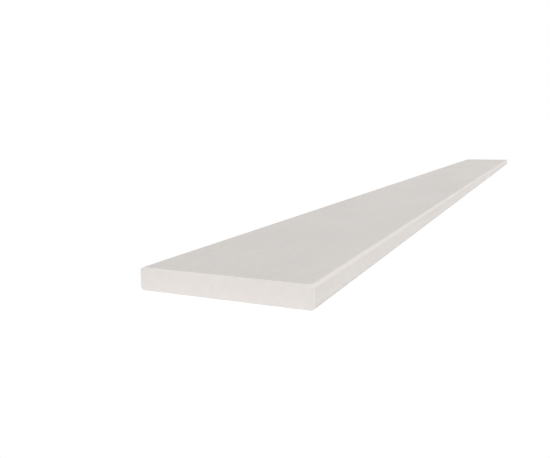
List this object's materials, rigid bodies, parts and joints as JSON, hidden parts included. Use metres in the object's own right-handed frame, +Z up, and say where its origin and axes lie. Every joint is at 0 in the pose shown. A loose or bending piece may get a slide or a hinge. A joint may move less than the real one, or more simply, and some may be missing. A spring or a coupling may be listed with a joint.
{
  "type": "window sill board",
  "caption": "Long flat window sill board with a smooth off-white coat, rounded long arrises and square-cut ends.",
  "frame": {"origin": "under the middle of the board, on the underside that it lies on", "axes": "+X along the board's length, +Y across its width from the front edge to the back edge that butts the window frame, +Z up through its thickness"},
  "size_m": [3, 0.22, 0.028],
  "materials": {
    "coated_board": "matte"
  },
  "bodies": {
    "root": {"sill_board": "coated_board"}
  },
  "joints": []
}
